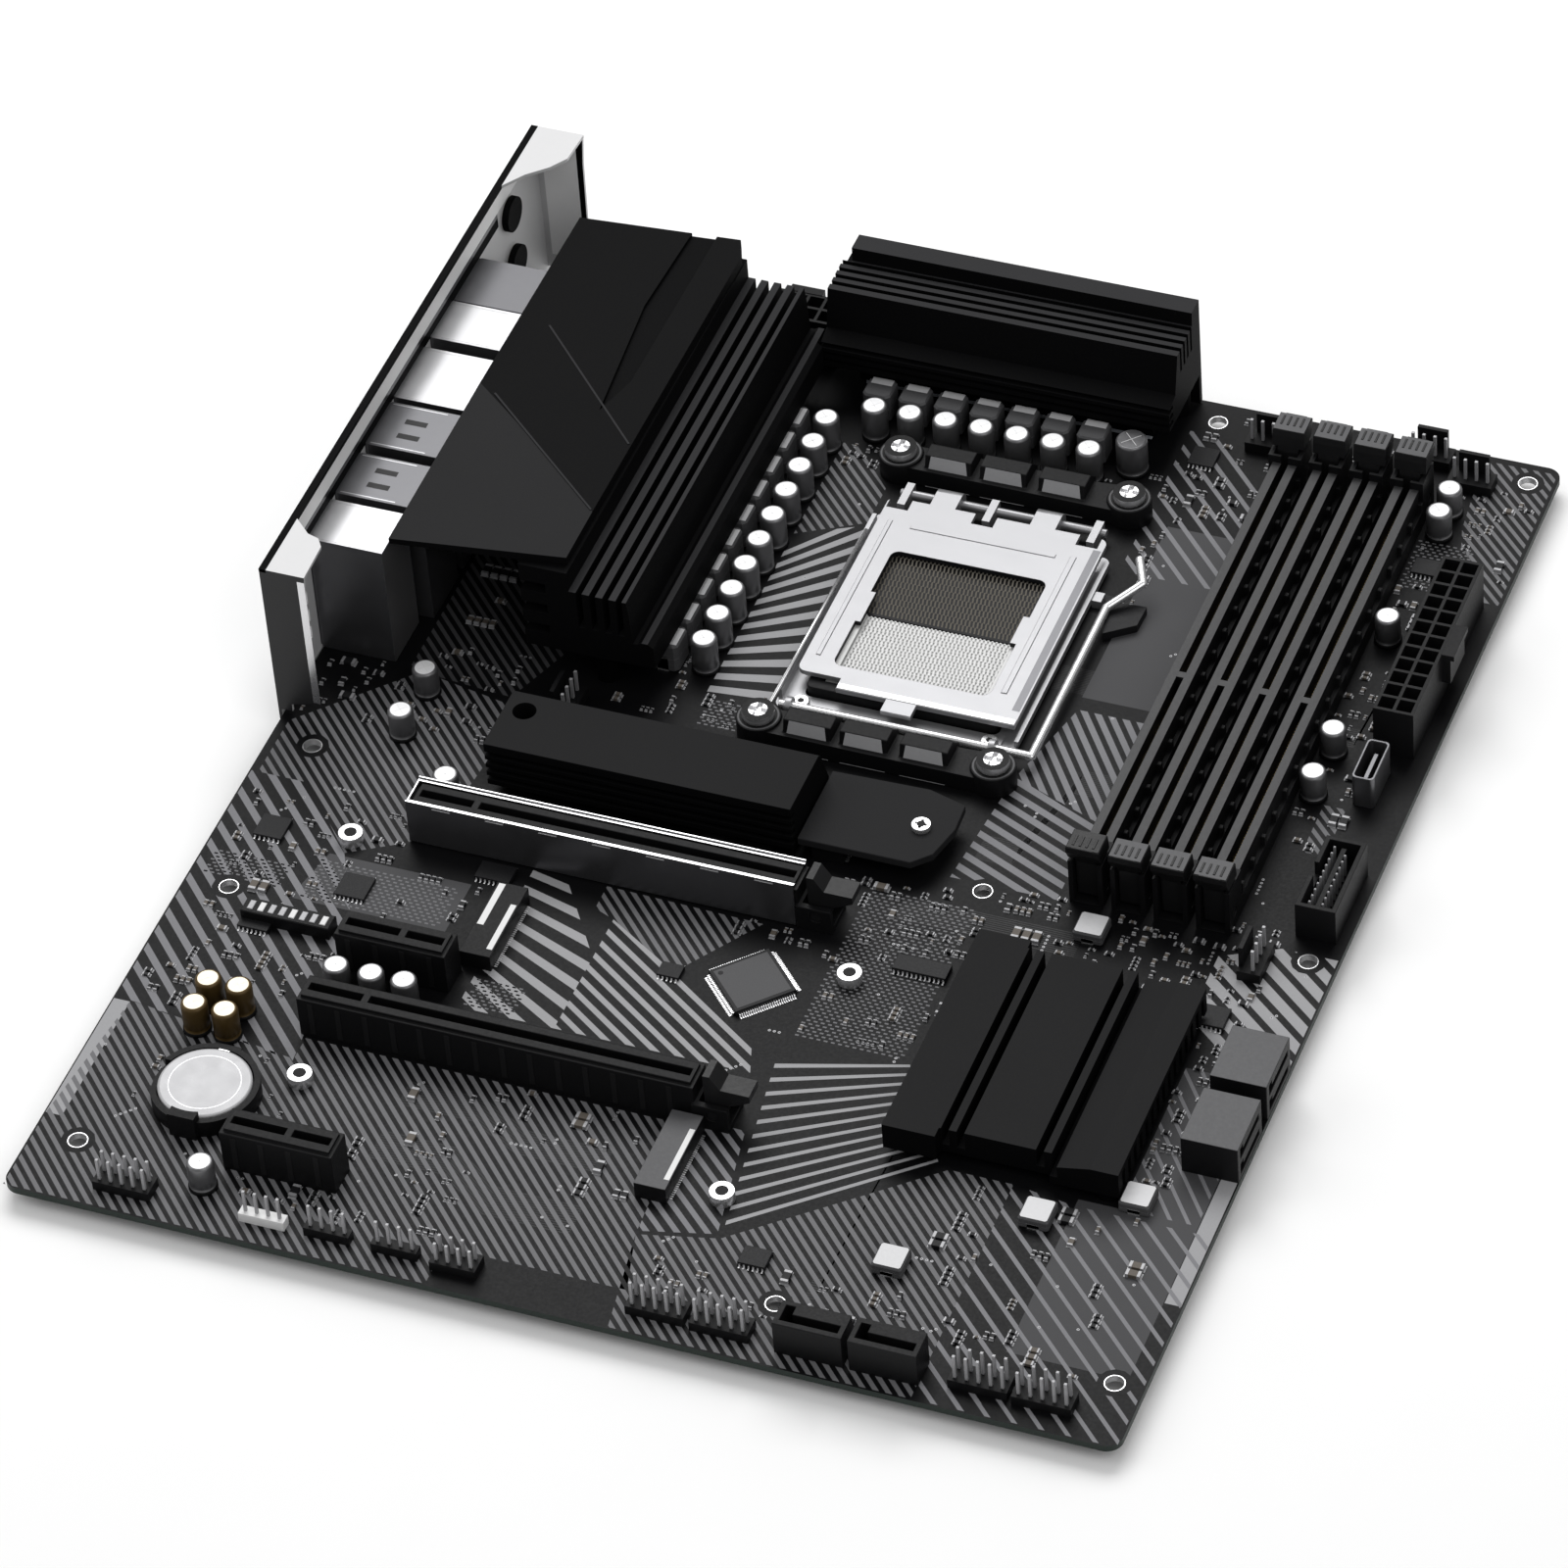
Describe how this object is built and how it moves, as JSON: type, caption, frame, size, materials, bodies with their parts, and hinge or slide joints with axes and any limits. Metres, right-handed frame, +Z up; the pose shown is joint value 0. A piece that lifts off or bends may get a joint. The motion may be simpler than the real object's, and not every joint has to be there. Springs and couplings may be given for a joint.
{
  "type": "motherboard",
  "caption": "Rectangular computer main board with a processor socket, memory and expansion slots, finned heatsinks, a rear port panel and power connectors.",
  "frame": {"origin": "axis of the mounting hole at the rear edge and expansion-slot end, at the board's underside", "axes": "+X from the rear port edge to the front edge, +Y from the expansion-slot end to the processor end, +Z up out of the component side"},
  "size_m": [0.2469, 0.3065, 0.0467],
  "materials": {
    "laminate": "semi-gloss solder mask with printed stripes",
    "shield_steel": "brushed",
    "port_steel": "satin",
    "dark_port": "satin",
    "brass": "polished",
    "sink_dark": "fine matt coating",
    "sink_grey": "satin coating",
    "pad": "matt",
    "epoxy": "matt",
    "ferrite": "pressed powder",
    "can": "bright sleeve and lid",
    "gold_can": "gold sleeve",
    "socket_plastic": "moulded",
    "contact_gold": "plated contacts",
    "plated_steel": "nickel plated",
    "black_plastic": "moulded",
    "slot_grey": "moulded",
    "fr4_green": "substrate",
    "solder": "solder",
    "screw_steel": "zinc plated",
    "battery_steel": "bright"
  },
  "bodies": {
    "board": {"pcb": "laminate", "solder_pins": "solder", "io_shield": "shield_steel", "antenna_jacks": "brass", "audio_jack_stack": "port_steel", "usb_stacks": "port_steel", "lan_usb_stack": "port_steel", "usb_c_stack": "port_steel", "display_stack": "dark_port", "vrm_heatsink_rear": "sink_dark", "vrm_cover": "sink_grey", "vrm_heatsink_top": "sink_dark", "vrm_thermal_pads": "pad", "vrm_mosfets": "epoxy", "vrm_chokes": "ferrite", "vrm_capacitors": "can", "board_capacitors": "can", "audio_capacitors": "gold_can", "socket_housing": "socket_plastic", "socket_contacts": "contact_gold", "socket_frame": "plated_steel", "cooler_brackets": "black_plastic", "cooler_backplate": "sink_dark", "cooler_screws": "screw_steel", "dimm_slot_1": "slot_grey", "dimm_slot_2": "slot_grey", "dimm_slot_3": "slot_grey", "dimm_slot_4": "slot_grey", "pcie_x16_slot_1": "black_plastic", "pcie_steel_shell": "plated_steel", "pcie_x16_slot_2": "black_plastic", "pcie_x1_slots": "black_plastic", "m2_sockets": "black_plastic", "m2_heatsink": "sink_grey", "m2_end_plate": "sink_grey", "m2_standoffs": "brass", "chipset_heatsink": "sink_grey", "chipset_package": "fr4_green", "atx_power_connector": "black_plastic", "cpu_power_connector": "black_plastic", "sata_ports": "slot_grey", "front_usb_headers": "black_plastic", "fan_headers": "slot_grey", "pin_headers": "black_plastic", "battery_holder": "black_plastic", "ic_packages": "epoxy", "board_screws": "screw_steel"},
    "dimm_latch_1_near": {"dimm_latch_1_near": "black_plastic"},
    "dimm_latch_1_far": {"dimm_latch_1_far": "black_plastic"},
    "dimm_latch_2_near": {"dimm_latch_2_near": "black_plastic"},
    "dimm_latch_2_far": {"dimm_latch_2_far": "black_plastic"},
    "dimm_latch_3_near": {"dimm_latch_3_near": "black_plastic"},
    "dimm_latch_3_far": {"dimm_latch_3_far": "black_plastic"},
    "dimm_latch_4_near": {"dimm_latch_4_near": "black_plastic"},
    "dimm_latch_4_far": {"dimm_latch_4_far": "black_plastic"},
    "pcie_latch_1": {"pcie_latch_1": "black_plastic"},
    "pcie_latch_2": {"pcie_latch_2": "black_plastic"},
    "load_plate": {"load_plate": "plated_steel"},
    "load_lever": {"load_lever": "plated_steel"},
    "coin_battery": {"coin_battery": "battery_steel"}
  },
  "joints": [
    {"name": "memory_latch_1_near", "type": "hinge", "parent": "board", "child": "dimm_latch_1_near", "pos_m": [0.17734, 0.13029, 0.0056], "axis": [1, 0, 0], "range_deg": [0, 25]},
    {"name": "memory_latch_1_far", "type": "hinge", "parent": "board", "child": "dimm_latch_1_far", "pos_m": [0.17734, 0.26669, 0.0056], "axis": [-1, 0, 0], "range_deg": [0, 25]},
    {"name": "memory_latch_2_near", "type": "hinge", "parent": "board", "child": "dimm_latch_2_near", "pos_m": [0.18674, 0.13029, 0.0056], "axis": [1, 0, 0], "range_deg": [0, 25]},
    {"name": "memory_latch_2_far", "type": "hinge", "parent": "board", "child": "dimm_latch_2_far", "pos_m": [0.18674, 0.26669, 0.0056], "axis": [-1, 0, 0], "range_deg": [0, 25]},
    {"name": "memory_latch_3_near", "type": "hinge", "parent": "board", "child": "dimm_latch_3_near", "pos_m": [0.19614, 0.13029, 0.0056], "axis": [1, 0, 0], "range_deg": [0, 25]},
    {"name": "memory_latch_3_far", "type": "hinge", "parent": "board", "child": "dimm_latch_3_far", "pos_m": [0.19614, 0.26669, 0.0056], "axis": [-1, 0, 0], "range_deg": [0, 25]},
    {"name": "memory_latch_4_near", "type": "hinge", "parent": "board", "child": "dimm_latch_4_near", "pos_m": [0.20554, 0.13029, 0.0056], "axis": [1, 0, 0], "range_deg": [0, 25]},
    {"name": "memory_latch_4_far", "type": "hinge", "parent": "board", "child": "dimm_latch_4_far", "pos_m": [0.20554, 0.26669, 0.0056], "axis": [-1, 0, 0], "range_deg": [0, 25]},
    {"name": "card_latch_1", "type": "hinge", "parent": "board", "child": "pcie_latch_1", "pos_m": [0.12544, 0.10699, 0.0056], "axis": [0, 1, 0], "range_deg": [0, 25]},
    {"name": "card_latch_2", "type": "hinge", "parent": "board", "child": "pcie_latch_2", "pos_m": [0.12544, 0.04599, 0.0056], "axis": [0, 1, 0], "range_deg": [0, 25]},
    {"name": "load_plate_hinge", "type": "hinge", "parent": "board", "child": "load_plate", "pos_m": [0.11984, 0.23649, 0.0043], "axis": [-1, 0, 0], "range_deg": [0, 110]},
    {"name": "load_lever_hinge", "type": "hinge", "parent": "board", "child": "load_lever", "pos_m": [0.11984, 0.16349, 0.0048], "axis": [1, 0, 0], "range_deg": [0, 130]},
    {"name": "battery_lift", "type": "slide", "parent": "board", "child": "coin_battery", "axis": [0, 0, 1], "range_m": [0, 0.015]}
  ]
}
